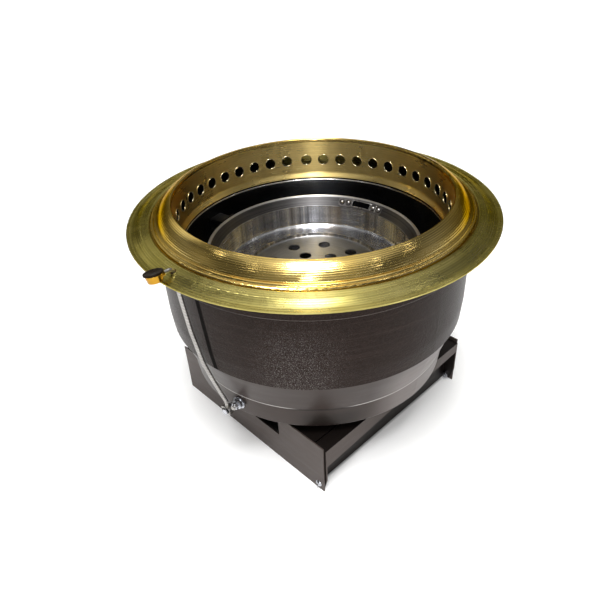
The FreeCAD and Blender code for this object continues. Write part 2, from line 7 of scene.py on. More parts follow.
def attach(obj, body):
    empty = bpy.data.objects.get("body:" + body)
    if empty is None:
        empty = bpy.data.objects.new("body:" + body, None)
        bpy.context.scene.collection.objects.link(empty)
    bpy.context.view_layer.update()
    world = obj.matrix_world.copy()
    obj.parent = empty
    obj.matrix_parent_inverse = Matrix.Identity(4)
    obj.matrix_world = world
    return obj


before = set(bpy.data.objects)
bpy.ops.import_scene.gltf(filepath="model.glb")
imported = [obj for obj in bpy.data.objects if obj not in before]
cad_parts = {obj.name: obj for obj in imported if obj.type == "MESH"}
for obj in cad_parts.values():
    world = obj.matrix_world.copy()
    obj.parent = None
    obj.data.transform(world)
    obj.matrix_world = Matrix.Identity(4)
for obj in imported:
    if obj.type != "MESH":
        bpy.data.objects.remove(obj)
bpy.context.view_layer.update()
scene = bpy.context.scene

# ------------------------------------------------------------------ camera
cam_data = bpy.data.cameras.new("camera")
cam_data.lens = 34.688
cam_data.sensor_width = 36.0
cam_data.clip_start = 0.02
cam_data.clip_end = 50.0
cam = bpy.data.objects.new("camera", cam_data)
scene.collection.objects.link(cam)
right = Vector((0.69684, 0.71571, -0.04653))
fwd = Vector((-0.60672, 0.55364, -0.57042)).normalized()
up = right.cross(fwd).normalized()
right = fwd.cross(up).normalized()
rot = Matrix((right, up, -fwd)).transposed()
cam.matrix_world = Matrix.Translation((0.41475, -0.40452, 0.53873)) @ rot.to_4x4()
scene.camera = cam
scene.view_settings.view_transform = "Standard"
scene.view_settings.look = "None"


# ------------------------------------------------------------------ node helpers
class Nodes:
    """Builds one material's node tree."""

    def __init__(self, name):
        self.mat = bpy.data.materials.new(name)
        self.mat.use_nodes = True
        self.t = self.mat.node_tree
        self.t.nodes.clear()
        self.out = self.t.nodes.new("ShaderNodeOutputMaterial")
        self.bsdf = self.t.nodes.new("ShaderNodeBsdfPrincipled")
        self.t.links.new(self.bsdf.outputs[0], self.out.inputs[0])
        tc = self.t.nodes.new("ShaderNodeTexCoord")
        self.P = tc.outputs["Object"]
        sep = self.t.nodes.new("ShaderNodeSeparateXYZ")
        self.t.links.new(self.P, sep.inputs[0])
        self.x, self.y, self.z = sep.outputs
        self._r = None
        self._a = None

    def put(self, sock, v):
        if isinstance(v, bpy.types.NodeSocket):
            self.t.links.new(v, sock)
        else:
            sock.default_value = v

    def m(self, op, a, b=0.0, c=0.0, clamp=False):
        n = self.t.nodes.new("ShaderNodeMath")
        n.operation = op
        n.use_clamp = clamp
        for s, v in zip(n.inputs, (a, b, c)):
            self.put(s, v)
        return n.outputs[0]

    def vec(self, x, y, z):
        n = self.t.nodes.new("ShaderNodeCombineXYZ")
        for s, v in zip(n.inputs, (x, y, z)):
            self.put(s, v)
        return n.outputs[0]

    def scale(self, v, s):
        n = self.t.nodes.new("ShaderNodeVectorMath")
        n.operation = "MULTIPLY"
        self.put(n.inputs[0], v)
        n.inputs[1].default_value = s if isinstance(s, (tuple, list)) else (s, s, s)
        return n.outputs[0]

    @property
    def r(self):
        if self._r is None:
            self._r = self.m("SQRT", self.m("ADD", self.m("MULTIPLY", self.x, self.x), self.m("MULTIPLY", self.y, self.y)))
        return self._r

    @property
    def az(self):
        if self._a is None:
            self._a = self.m("ARCTAN2", self.y, self.x)
        return self._a

    def noise(self, v, scale, detail=2.0, rough=0.5, dist=0.0, out=0):
        n = self.t.nodes.new("ShaderNodeTexNoise")
        self.put(n.inputs["Vector"], v)
        n.inputs["Scale"].default_value = scale
        n.inputs["Detail"].default_value = detail
        n.inputs["Roughness"].default_value = rough
        n.inputs["Distortion"].default_value = dist
        return n.outputs[out]

    def voronoi(self, v, scale, feature="SMOOTH_F1", smooth=0.6, rnd=1.0):
        n = self.t.nodes.new("ShaderNodeTexVoronoi")
        n.feature = feature
        self.put(n.inputs["Vector"], v)
        n.inputs["Scale"].default_value = scale
        if "Smoothness" in n.inputs:
            n.inputs["Smoothness"].default_value = smooth
        n.inputs["Randomness"].default_value = rnd
        return n.outputs["Distance"]

    def ramp(self, v, stops, mode="LINEAR"):
        n = self.t.nodes.new("ShaderNodeValToRGB")
        n.color_ramp.interpolation = mode
        e = n.color_ramp.elements
        while len(e) > 1:
            e.remove(e[-1])
        for i, (p, c) in enumerate(stops):
            k = e[0] if i == 0 else e.new(p)
            k.position = p
            k.color = (c, c, c, 1) if isinstance(c, (int, float)) else (*c, 1)
        self.put(n.inputs[0], v)
        return n.outputs[0]

    def rng(self, v, a, b, c, d, smooth=False):
        n = self.t.nodes.new("ShaderNodeMapRange")
        n.clamp = True
        if smooth:
            n.interpolation_type = "SMOOTHSTEP"
        for s, k in zip(("From Min", "From Max", "To Min", "To Max"), (a, b, c, d)):
            n.inputs[s].default_value = k
        self.put(n.inputs["Value"], v)
        return n.outputs[0]

    def mix(self, f, a, b):
        n = self.t.nodes.new("ShaderNodeMix")
        n.data_type = "RGBA"
        self.put(n.inputs[0], f)
        self.put(n.inputs[6], (*a, 1) if isinstance(a, tuple) else a)
        self.put(n.inputs[7], (*b, 1) if isinstance(b, tuple) else b)
        return n.outputs[2]

    def mixf(self, f, a, b):
        n = self.t.nodes.new("ShaderNodeMix")
        n.data_type = "FLOAT"
        self.put(n.inputs[0], f)
        self.put(n.inputs[2], a)
        self.put(n.inputs[3], b)
        return n.outputs[0]

    def band(self, v, lo, hi, soft):
        """1 inside lo..hi, falling to 0 over soft outside."""
        return self.m("MULTIPLY", self.rng(v, lo - soft, lo, 0, 1, True), self.rng(v, hi, hi + soft, 1, 0, True))

    def bump(self, h, strength, dist, normal=None):
        n = self.t.nodes.new("ShaderNodeBump")
        n.inputs["Strength"].default_value = strength
        n.inputs["Distance"].default_value = dist
        self.put(n.inputs["Height"], h)
        if normal is not None:
            self.put(n.inputs["Normal"], normal)
        return n.outputs[0]

    def tangent(self):
        n = self.t.nodes.new("ShaderNodeTangent")
        n.direction_type = "RADIAL"
        n.axis = "Z"
        return n.outputs[0]

    def set(self, **k):
        for name, v in k.items():
            self.put(self.bsdf.inputs[name.replace("_", " ")], v)
        return self


def use(mat, *names):
    for n in names:
        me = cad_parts[n].data
        me.materials.clear()
        me.materials.append(mat.mat)
        for p in me.polygons:
            p.use_smooth = True


# ------------------------------------------------------------------ materials
def turned(n, pitch=900.0, strength=0.06, dist=0.0002, normal=None, wander=0.35):
    """Fine rings left by turning: a noise that changes quickly across the rings and slowly along them."""
    v = n.vec(n.m("MULTIPLY", n.r, pitch), n.m("MULTIPLY", n.z, pitch), n.m("MULTIPLY", n.az, wander))
    h = n.noise(v, 1.0, 2.0, 0.6)
    return n.bump(h, strength, dist, normal), h


def brass(name, light, dark, rough, aniso, line, pitch, lines_strength, spots=22.0, wall=None):
    n = Nodes(name)
    cloud = n.noise(n.P, 9.0, 3.0, 0.55, 0.6)
    smudge = n.noise(n.P, spots, 4.0, 0.6, 1.2)
    nb, h = turned(n, 900.0, line, 0.00025)
    # regular tool marks along the profile, and broader rings of changing tone
    u = n.m("SUBTRACT", n.r, n.z)
    wob = n.noise(n.P, 30.0, 2.0, 0.5)
    wave = n.m("SINE", n.m("MULTIPLY_ADD", u, 2 * math.pi / pitch, n.m("MULTIPLY", wob, 1.2)))
    fade = n.rng(n.noise(n.vec(n.m("MULTIPLY", n.az, 2.2), n.m("MULTIPLY", n.r, 60.0), 0.0), 1.0, 3.0, 0.6), 0.35, 0.62, 0.15, 1.0, True)
    rings = n.noise(n.vec(n.m("MULTIPLY", n.r, 330.0), n.m("MULTIPLY", n.z, 330.0), n.m("MULTIPLY", n.az, 0.5)), 1.0, 3.0, 0.7)
    marks = n.bump(n.m("MULTIPLY", wave, fade), lines_strength, 0.00014, nb)
    marks = n.bump(rings, 0.22, 0.0005, marks)
    low = n.bump(n.noise(n.P, 34.0, 2.0, 0.5), 0.16, 0.0016, marks)
    grit = n.bump(n.noise(n.P, 520.0, 2.0, 0.6), 0.10, 0.0002, low)
    col = n.mix(n.rng(cloud, 0.3, 0.7, 0, 1), dark, light)
    col = n.mix(n.m("MULTIPLY", n.rng(wave, -1.0, 0.2, 0.62, 0.0), fade), col, tuple(c * 0.42 for c in dark))
    col = n.mix(n.rng(h, 0.35, 0.75, 0.0, 0.40), col, tuple(c * 0.66 for c in dark))
    col = n.mix(n.rng(rings, 0.48, 0.68, 0.0, 0.55), col, tuple(c * 0.50 for c in dark))
    r = n.m("ADD", n.rng(smudge, 0.3, 0.75, rough[0], rough[1]), n.rng(h, 0.3, 0.7, -0.03, 0.05))
    if wall:
        # painted light: the inner wall of the ring is painted an even, lighter brass standing in for the light on it,
        # varied by random smudges
        inner = n.m("MULTIPLY", n.rng(n.r, 0.1500, 0.1508, 1, 0, True), n.rng(n.z, 0.2785, 0.2800, 1, 0, True))
        wall_smudge_and_light = n.mix(n.rng(smudge, 0.35, 0.7, 0, 1), wall, tuple(c * 0.74 for c in wall))
        col = n.mix(n.m("MULTIPLY", inner, 0.8), col, wall_smudge_and_light)
        r = n.m("ADD", r, n.m("MULTIPLY", inner, 0.12))
        # painted shade: the outer flank of the roll is darker and redder away from the front, standing in for the shade
        # there
        flank = n.m("MULTIPLY", n.band(n.r, 0.1560, 0.1700, 0.003), n.rng(n.z, 0.2655, 0.2670, 0, 1, True))
        away = n.m("SUBTRACT", 1.0, n.band(n.az, -1.70, 0.00, 0.6))
        col = n.mix(n.m("MULTIPLY", n.m("MULTIPLY", flank, away), 0.85), col, n.mix(n.rng(rings, 0.4, 0.6, 0, 1), (0.42, 0.27, 0.07), (0.16, 0.09, 0.02)))
    else:
        # inside of the skirt: in the dark, except at the back where light falls through the holes
        skirt = n.m("MULTIPLY", n.rng(n.z, 0.2600, 0.2610, 1, 0, True), n.rng(n.r, 0.1712, 0.1730, 1, 0, True))
        lit = n.band(n.az, 2.02, 2.50, 0.26)
        col = n.mix(n.m("MULTIPLY", skirt, n.m("SUBTRACT", 1.0, n.m("MULTIPLY", lit, 0.9))), col, (0.035, 0.028, 0.012))
    n.set(Base_Color=col, Metallic=1.0, Roughness=r, Anisotropic=aniso, Anisotropic_Rotation=0.25, Normal=grit, Tangent=n.tangent(),
          Specular_Tint=(light[0] * 0.80, light[1] * 0.72, light[2] * 0.62, 1))
    return n


flange_brass = brass("flange_brass", (0.74, 0.65, 0.265), (0.53, 0.455, 0.130), (0.20, 0.34), 0.82, 0.16, 0.0030, 0.16)
ring_brass = brass("ring_brass", (0.97, 0.755, 0.30), (0.80, 0.565, 0.155), (0.12, 0.26), 0.7, 0.22, 0.0028, 0.34, wall=(0.93, 0.715, 0.285))
use(flange_brass, "table_flange")
use(ring_brass, *[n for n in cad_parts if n.startswith("smoke_ring")])


def paint(name, col, rough, spec, bump_scale, bump_strength, bump_dist):
    n = Nodes(name)
    cloud = n.noise(n.P, 7.0, 3.0, 0.6)
    rub = n.noise(n.scale(n.P, (1, 1, 6)), 26.0, 4.0, 0.65, 0.4)
    peel = n.noise(n.P, bump_scale, 2.0, 0.5)
    c = n.mix(n.rng(cloud, 0.3, 0.7, 0, 1), tuple(k * 0.82 for k in col), tuple(k * 1.15 for k in col))
    c = n.mix(n.rng(rub, 0.55, 0.75, 0, 0.35), c, tuple(k * 1.7 for k in col))
    n.set(Base_Color=c, Roughness=n.rng(rub, 0.3, 0.7, rough * 0.85, rough * 1.2), Specular_IOR_Level=spec, Specular_Tint=(1.0, 0.86, 0.80, 1),
          Normal=n.bump(peel, bump_strength, bump_dist))
    return n


def hammertone():
    n = Nodes("barrel_paint")
    cells = n.voronoi(n.P, 820.0, smooth=0.6)
    fine = n.noise(n.P, 1300.0, 2.0, 0.6)
    drag = n.noise(n.vec(n.m("MULTIPLY", n.az, 2.0), n.m("MULTIPLY", n.z, 460.0), n.m("MULTIPLY", n.r, 20.0)), 1.0, 3.0, 0.6)
    h = n.m("ADD", n.m("ADD", cells, n.m("MULTIPLY", fine, 0.5)), n.m("MULTIPLY", drag, 0.45))
    cloud = n.noise(n.P, 6.0, 3.0, 0.6)
    c = n.mix(n.rng(cells, 0.15, 0.7, 0, 1), (0.010, 0.0064, 0.0052), (0.026, 0.0172, 0.0145))
    c = n.mix(n.rng(cloud, 0.3, 0.7, 0, 0.4), c, (0.010, 0.0066, 0.0055))
    c = n.mix(n.rng(drag, 0.52, 0.72, 0, 0.5), c, (0.040, 0.028, 0.024))
    # painted highlight: bright flecks, dense in a patch at the front where lamp glints fall on the hammered grain,
    # sparse elsewhere
    glint_patch = n.m("MULTIPLY", n.band(n.az, -0.93, -0.84, 0.30), n.band(n.z, 0.150, 0.186, 0.055))
    fleck = n.rng(n.noise(n.P, 1500.0, 1.5, 0.5), 0.55, 0.69, 0.0, 1.0)
    c = n.mix(n.m("MULTIPLY", fleck, n.m("MULTIPLY_ADD", glint_patch, 0.52, 0.06)), c, (0.33, 0.305, 0.295))
    # painted shadow: a dark streak beside the rod, where its shadow falls; the streak is also rougher
    off = n.m("SUBTRACT", n.az, n.m("MULTIPLY_ADD", n.z, -0.70, -1.328))
    rod_shadow = n.band(off, -0.012, 0.012, 0.012)
    c = n.mix(n.m("MULTIPLY", rod_shadow, 0.95), c, (0.001, 0.0008, 0.0007))
    # painted highlight: a light line along the lower edge of the collar, at the front
    edge = n.m("MULTIPLY", n.m("MULTIPLY", n.band(n.z, 0.2348, 0.2360, 0.0007), n.rng(n.r, 0.1735, 0.1750, 0, 1)), n.band(n.az, -1.0, 0.2, 0.3))
    c = n.mix(n.m("MULTIPLY", edge, n.rng(cloud, 0.35, 0.6, 0.3, 0.9)), c, (0.20, 0.17, 0.155))
    n.set(Base_Color=c, Metallic=0.0, Roughness=n.m("MULTIPLY_ADD", rod_shadow, 0.45, 0.34), Normal=n.bump(h, 0.55, 0.0005), Specular_IOR_Level=0.07, Specular_Tint=(1.0, 0.82, 0.75, 1))
    return n


barrel_paint = hammertone()
drum = paint("drum_paint", (0.034, 0.0255, 0.0225), 0.36, 0.22, 160.0, 0.05, 0.0004)
# painted highlight: a thin light line along the crease, standing in for the light it catches, more at the sides than at
# the front
side = drum.m("ADD", drum.band(drum.az, -2.6, -1.02, 0.12), drum.band(drum.az, -0.50, 0.6, 0.12))
crease = drum.m("MULTIPLY", drum.band(drum.z, 0.10475, 0.10555, 0.0004),
                drum.m("MULTIPLY", side, drum.rng(drum.noise(drum.vec(drum.m("MULTIPLY", drum.az, 1.3), 0.0, 0.0), 1.0, 3.0, 0.6), 0.30, 0.50, 0.35, 1.0, True)))
# painted shade: a dark line just below the crease, at the front
crease_shade = drum.m("MULTIPLY", drum.band(drum.z, 0.1036, 0.1056, 0.0005), drum.band(drum.az, -0.96, -0.56, 0.10))
old = drum.bsdf.inputs["Base Color"].links[0].from_socket
old = drum.mix(drum.m("MULTIPLY", crease_shade, 0.8), old, (0.006, 0.0045, 0.004))
# painted shadow: the lower cone is darker at the front, most towards its bottom
low_front_shadow = drum.m("MULTIPLY", drum.band(drum.az, -0.80, -0.60, 0.22), drum.rng(drum.z, 0.0900, 0.1046, 0.9, 0.35, True))
low_front_shadow = drum.m("MULTIPLY", low_front_shadow, drum.rng(drum.z, 0.1046, 0.1050, 1, 0, True))
old = drum.mix(low_front_shadow, old, (0.008, 0.006, 0.005))
# painted light: the drum's lower right side is painted paler, fading upwards, standing in for light reflected there
pale = drum.m("MULTIPLY", drum.band(drum.az, -0.16, 0.75, 0.30), drum.rng(drum.z, 0.120, 0.155, 1.0, 0.5, True))
old = drum.mix(drum.m("MULTIPLY", pale, 0.75), old, (0.185, 0.162, 0.155))
drum.set(Base_Color=drum.mix(crease, old, (0.42, 0.40, 0.38)))
drum_paint = drum
base_paint = paint("base_paint", (0.054, 0.042, 0.0375), 0.42, 0.28, 420.0, 0.12, 0.0003)
# painted shade: the deck is painted near black, standing in for the shade inside the base
deck_paint = paint("deck_paint", (0.007, 0.0052, 0.0045), 0.5, 0.08, 420.0, 0.12, 0.0003)
use(barrel_paint, "outer_barrel", "barrel_collar")
use(drum_paint, "lower_drum")
channel_paint = paint("channel_paint", (0.058, 0.045, 0.040), 0.42, 0.18, 420.0, 0.12, 0.0003)
# painted shade: the top and the hollow side of the channels are painted near black; only the lip and the ends keep the
# paint colour
cp = channel_paint
lit_faces = cp.m("ADD", cp.rng(cp.x, 0.1279, 0.1285, 0, 1), cp.rng(cp.x, -0.1209, -0.1215, 0, 1))
lit_faces = cp.m("MULTIPLY", lit_faces, cp.rng(cp.z, 0.0634, 0.0640, 1, 0))
was = cp.bsdf.inputs["Base Color"].links[0].from_socket
cp.set(Base_Color=cp.mix(lit_faces, (0.007, 0.0052, 0.0045), was))
use(base_paint, "base_side_plate_front", "base_side_plate_rear")
use(channel_paint, "base_channel_right", "base_channel_left")
use(deck_paint, "base_deck")


def liner():
    n = Nodes("liner_enamel")
    rim = n.rng(n.z, 0.2284, 0.2290, 0, 1, True)
    cloud = n.noise(n.P, 10.0, 3.0, 0.6)
    # painted reflection: the liner is painted lighter and bluer towards the bottom
    depth = n.rng(n.z, 0.185, 0.228, 0, 1, True)
    c = n.mix(depth, (0.52, 0.545, 0.60), (0.16, 0.17, 0.19))
    c = n.mix(n.rng(cloud, 0.35, 0.7, 0, 0.5), c, (0.14, 0.145, 0.165))
    # painted reflection: a light strip at the back, and painted shade darkening the liner towards the sides
    back = n.band(n.az, 2.22, 2.50, 0.34)
    streak = n.band(n.az, 2.34, 2.44, 0.07)
    c = n.mix(back, n.mix(0.80, c, (0.02, 0.02, 0.024)), n.mix(0.45, c, (0.05, 0.052, 0.06)))
    c = n.mix(streak, c, (0.155, 0.16, 0.165))
    c = n.mix(rim, c, (0.75, 0.74, 0.72))
    nb, h = turned(n, 700.0, 0.05, 0.0002)
    n.set(Base_Color=c, Metallic=1.0, Roughness=n.rng(cloud, 0.3, 0.7, 0.16, 0.28), Normal=nb,
          Anisotropic=0.85, Anisotropic_Rotation=0.25, Tangent=n.tangent())
    return n


use(liner(), "inner_liner")


def spun(name, light, dark, rough, aniso=0.8, band=False, line=0.12):
    n = Nodes(name)
    nb, h = turned(n, 1400.0, line, 0.0002)
    cloud = n.noise(n.P, 14.0, 3.0, 0.6, 0.5)
    flat = n.band(n.z, 0.1655, 0.1815, 0.0015)
    ripple = n.bump(n.m("MULTIPLY", n.noise(n.P, 46.0, 2.0, 0.5, 0.8), flat), 0.35, 0.0016, nb)
    # painted reflection: light, dark and beige vertical streaks round the bowl's wall, standing in for lamps seen in
    # the spun metal
    streak_reflections = n.noise(n.vec(n.m("MULTIPLY", n.az, 11.0), 0.0, 0.0), 1.0, 3.0, 0.65)
    c = n.mix(n.rng(cloud, 0.3, 0.7, 0, 1), dark, light)
    c = n.mix(n.rng(h, 0.35, 0.75, 0.0, 0.45), c, tuple(k * 0.6 for k in dark))
    wall = n.m("ADD", n.band(n.z, 0.1835, 0.2070, 0.0020), n.m("MULTIPLY", n.rng(n.z, 0.2070, 0.2085, 0, 1, True), 0.30))
    c = n.mix(n.m("MULTIPLY", n.rng(streak_reflections, 0.50, 0.64, 0.0, 0.9), wall), c, tuple(k * 0.30 for k in dark))
    c = n.mix(n.m("MULTIPLY", n.rng(streak_reflections, 0.46, 0.34, 0.0, 0.9), wall), c, (0.97, 0.94, 0.88))
    warm_reflection = n.noise(n.vec(n.m("MULTIPLY", n.az, 4.0), 3.0, 0.0), 1.0, 2.0, 0.5)
    c = n.mix(n.m("MULTIPLY", n.rng(warm_reflection, 0.50, 0.66, 0.0, 0.6), wall), c, (0.74, 0.63, 0.50))
    r = n.m("ADD", n.rng(cloud, 0.3, 0.7, rough[0], rough[1]), n.rng(h, 0.3, 0.7, -0.02, 0.05))
    if band:
        up_ = n.rng(n.z, 0.2072, 0.2092, 0, 1, True)
        c = n.mix(up_, c, n.mix(n.rng(h, 0.3, 0.7, 0, 1), (0.052, 0.050, 0.051), (0.132, 0.127, 0.127)))
        rim = n.rng(n.z, 0.2176, 0.2186, 0, 1, True)
        c = n.mix(rim, c, (0.60, 0.59, 0.58))
        r = n.m("ADD", r, n.rng(up_, 0, 1, 0, 0.20))
    n.set(Base_Color=c, Metallic=1.0, Roughness=r, Anisotropic=aniso, Anisotropic_Rotation=0.25, Normal=ripple, Tangent=n.tangent())
    return n


use(spun("bowl_stainless", (0.66, 0.66, 0.68), (0.48, 0.48, 0.50), (0.16, 0.26), 0.88, True), "fire_bowl")
use(spun("grate_stainless", (0.32, 0.32, 0.32), (0.21, 0.21, 0.22), (0.26, 0.38), 0.8), "charcoal_grate")


def plain_metal(name, light, dark, rough, grain=400.0, strength=0.08):
    n = Nodes(name)
    cloud = n.noise(n.P, 60.0, 3.0, 0.6)
    g = n.noise(n.P, grain, 2.0, 0.5)
    n.set(Base_Color=n.mix(n.rng(cloud, 0.3, 0.7, 0, 1), dark, light), Metallic=1.0, Roughness=n.rng(cloud, 0.3, 0.7, rough[0], rough[1]),
          Normal=n.bump(g, strength, 0.0002))
    return n


use(plain_metal("bracket_stainless", (0.24, 0.225, 0.22), (0.13, 0.12, 0.115), (0.26, 0.40)), "bowl_lift_brackets")
use(plain_metal("rivet_stainless", (0.55, 0.53, 0.51), (0.34, 0.32, 0.31), (0.22, 0.36)), "bowl_lift_rivets")
use(plain_metal("stainless", (0.70, 0.70, 0.70), (0.56, 0.56, 0.56), (0.25, 0.38)), "liner_legs", "bowl_stand")
use(plain_metal("bracket_steel", (0.06, 0.06, 0.06), (0.03, 0.03, 0.03), (0.3, 0.45)), "bowl_brackets")
use(plain_metal("galvanised", (0.62, 0.64, 0.66), (0.44, 0.46, 0.48), (0.28, 0.45), 90.0), "exhaust_duct", "damper_flap")
use(plain_metal("zinc", (0.56, 0.57, 0.60), (0.38, 0.39, 0.42), (0.18, 0.30)), "liner_screws", "base_bolts", "base_nuts", "drum_spacers",
    "drum_bolts", "drum_nuts", "shaft_bush_drum", "flap_screws", "damper_crank", "crank_pin", "shaft_nut")
use(plain_metal("bronze", (0.62, 0.44, 0.22), (0.45, 0.31, 0.15), (0.25, 0.4)), "rod_guide", "shaft_bushes_duct")


def rod_steel():
    """Drawn bar with a fine slanting grain."""
    n = Nodes("rod_steel")
    cloud = n.noise(n.P, 60.0, 3.0, 0.6)
    slant = n.m("SINE", n.m("ADD", n.m("MULTIPLY", n.z, 2 * math.pi / 0.0034), n.m("MULTIPLY", n.m("ADD", n.x, n.y), 900.0)))
    g = n.noise(n.P, 700.0, 2.0, 0.6)
    c = n.mix(n.rng(cloud, 0.3, 0.7, 0, 1), (0.32, 0.305, 0.29), (0.47, 0.45, 0.43))
    c = n.mix(n.rng(slant, -1, 1, 0, 0.45), c, (0.15, 0.14, 0.13))
    n.set(Base_Color=c, Metallic=1.0, Roughness=n.rng(cloud, 0.3, 0.7, 0.30, 0.42), Normal=n.bump(g, 0.12, 0.0002, n.bump(slant, 0.3, 0.0002)))
    return n


rod_mat = rod_steel()
use(rod_mat, "damper_rod", "rod_end_block", "damper_shaft")
use(plain_metal("knob_brass", (0.54, 0.30, 0.035), (0.36, 0.18, 0.02), (0.14, 0.24)), "damper_knob")
use(paint("knob_dark", (0.010, 0.006, 0.003), 0.30, 0.06, 300.0, 0.05, 0.0003), "knob_disc")


# ------------------------------------------------------------------ small detail
def build(name, parts, mat, body, smooth=True):
    """One mesh from a list of (vertices, faces), in the row frame."""
    vs, fs = [], []
    for v, f in parts:
        o = len(vs)
        vs += [tuple(c) for c in v]
        fs += [[i + o for i in q] for q in f]
    me = bpy.data.meshes.new(name)
    me.from_pydata(vs, [], fs)
    me.update()
    me.materials.append(mat.mat)
    for q in me.polygons:
        q.use_smooth = smooth
    ob = bpy.data.objects.new(name, me)
    scene.collection.objects.link(ob)
    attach(ob, body)
    return ob


def tube_along(pts, rad, nv=7, closed=True, flat=1.0, flat_dir=None):
    """Round section of radius rad swept along pts; flat scales it along flat_dir."""
    n = len(pts)
    v, f = [], []
    for i in range(n):
        a = pts[(i - 1) % n] if closed or i else pts[0]
        b = pts[(i + 1) % n] if closed or i < n - 1 else pts[-1]
        t = (b - a).normalized()
        up_ = flat_dir if flat_dir is not None else Vector((0, 0, 1))
        if abs(t.dot(up_)) > 0.95:
            up_ = Vector((1, 0, 0))
        s1 = t.cross(up_).normalized()
        s2 = s1.cross(t).normalized()
        for k in range(nv):
            q = 2 * math.pi * k / nv
            v.append(pts[i] + s1 * (rad * math.cos(q)) + s2 * (rad * flat * math.sin(q)))
    m_ = n if closed else n - 1
    for i in range(m_):
        for k in range(nv):
            f.append([i * nv + k, i * nv + (k + 1) % nv, ((i + 1) % n) * nv + (k + 1) % nv, ((i + 1) % n) * nv + k])
    if not closed:
        f.append(list(range(nv))[::-1])
        f.append([(n - 1) * nv + k for k in range(nv)])
    return v, f


def ring_pts(c, d, rad, n=22):
    d = Vector(d).normalized()
    e1 = d.cross(Vector((0, 0, 1)) if abs(d.z) < 0.9 else Vector((1, 0, 0))).normalized()
    e2 = d.cross(e1)
    return [Vector(c) + e1 * (rad * math.cos(2 * math.pi * i / n)) + e2 * (rad * math.sin(2 * math.pi * i / n)) for i in range(n)]


def around(r_, az_, z_):
    return Vector((r_ * math.cos(az_), r_ * math.sin(az_), z_))


rad_ = math.radians
edge_brass = plain_metal("hole_edge", (0.98, 0.90, 0.66), (0.84, 0.74, 0.44), (0.14, 0.26))
dark_steel = plain_metal("dark_steel", (0.05, 0.047, 0.045), (0.025, 0.023, 0.022), (0.3, 0.45))
edge_steel = plain_metal("edge_steel", (0.62, 0.61, 0.60), (0.42, 0.41, 0.40), (0.2, 0.35))
weld = plain_metal("weld", (0.46, 0.42, 0.40), (0.22, 0.19, 0.18), (0.3, 0.5), 300.0)

# burr left by punching, round each hole of the smoke ring; its pale brass is partly a painted highlight, for the light
# the edges catch
rims = []
for k in range(42):
    a0 = rad_(215.9 - 8.53 * k - (1.3 if k >= 9 else 0))
    pts = []
    for i in range(28):
        t = 2 * math.pi * i / 28
        pts.append(around(0.14992, a0 + 0.0067 * math.cos(t) / 0.150, 0.2559 + 0.0067 * math.sin(t)))
    rims.append(tube_along(pts, 0.00042, 6))
build("hole_burrs", rims, edge_brass, "smoke_ring")

# lifting slots: shaded ring round each rivet, turned-in edge round the window, two folds beside it
bl_ = math.hypot(0.1189 - 0.1106, 0.2194 - 0.2080)
ux, uz = (0.1106 - 0.1189) / bl_, (0.2080 - 0.2194) / bl_
nx, nz = uz, -ux


def on_band(s_, n_, az_):
    return around(0.1189 + ux * s_ + nx * n_, az_, 0.2194 + uz * s_ + nz * n_)


rings_, frames_, folds_ = [], [], []
for a in (102.5, 282.5):
    for sg in (-1, 1):
        for k in (0, 1):
            az_ = rad_(a + sg * (13.2 - 4.2 * k))
            d_ = Vector((nx * math.cos(az_), nx * math.sin(az_), nz))
            rings_.append(tube_along(ring_pts(on_band(0.0075, 0.00150, az_), d_, 0.0030), 0.00050, 6, flat_dir=d_))
    loop = []
    for s_, t_ in ((0.0037, -1), (0.0037, 1), (0.0113, 1), (0.0113, -1)):
        loop.append((s_, t_))
    pts = []
    for i in range(4):
        s0_, t0_ = loop[i]
        s1_, t1_ = loop[(i + 1) % 4]
        for j in range(10):
            w_ = j / 10.0
            pts.append(on_band(s0_ + (s1_ - s0_) * w_, 0.00135, rad_(a + 6.3 * (t0_ + (t1_ - t0_) * w_))))
    frames_.append(tube_along(pts, 0.00036, 6))
    for da in (-7.3, -10.9):
        folds_.append(tube_along([on_band(0.0032 + 0.0090 * j / 8.0, 0.0014, rad_(a + da)) for j in range(9)], 0.00055, 8, closed=False))
build("rivet_rings", rings_, dark_steel, "fire_bowl")
build("window_edges", frames_, edge_steel, "fire_bowl")
build("bracket_folds", folds_, edge_steel, "fire_bowl")

# thread on the end of the damper shaft
er_ = Vector((math.cos(rad_(-78)), math.sin(rad_(-78)), 0))
thread = [tube_along(ring_pts(er_ * (0.16495 + 0.00055 * i) + Vector((0, 0, 0.095)), er_, 0.00248, 18), 0.00020, 6, flat_dir=er_) for i in range(4)]
build("shaft_thread", thread, edge_steel, "damper_flap")

# star recess in the heads of the base bolts, drawn as a dark star: painted shade for the hollow
star = []
for y_, sg in ((-0.122, -1), (0.126, 1)):
    c_ = Vector((0.119, y_ + sg * 0.00252, 0.0074))
    v_, f_ = [], []
    for ring_, (rr_, off) in enumerate(((1.0, 0.00012), (1.0, -0.0006))):
        for i in range(12):
            q = 2 * math.pi * i / 12
            q_r = (0.00165 if i % 2 else 0.00105) * rr_
            v_.append(c_ + Vector((q_r * math.cos(q), sg * off, q_r * math.sin(q))))
    f_.append(list(range(12)))
    f_.append(list(range(12, 24))[::-1])
    for i in range(12):
        f_.append([i, (i + 1) % 12, 12 + (i + 1) % 12, 12 + i])
    star.append((v_, f_))
build("bolt_recesses", star, dark_steel, "casing", smooth=False)

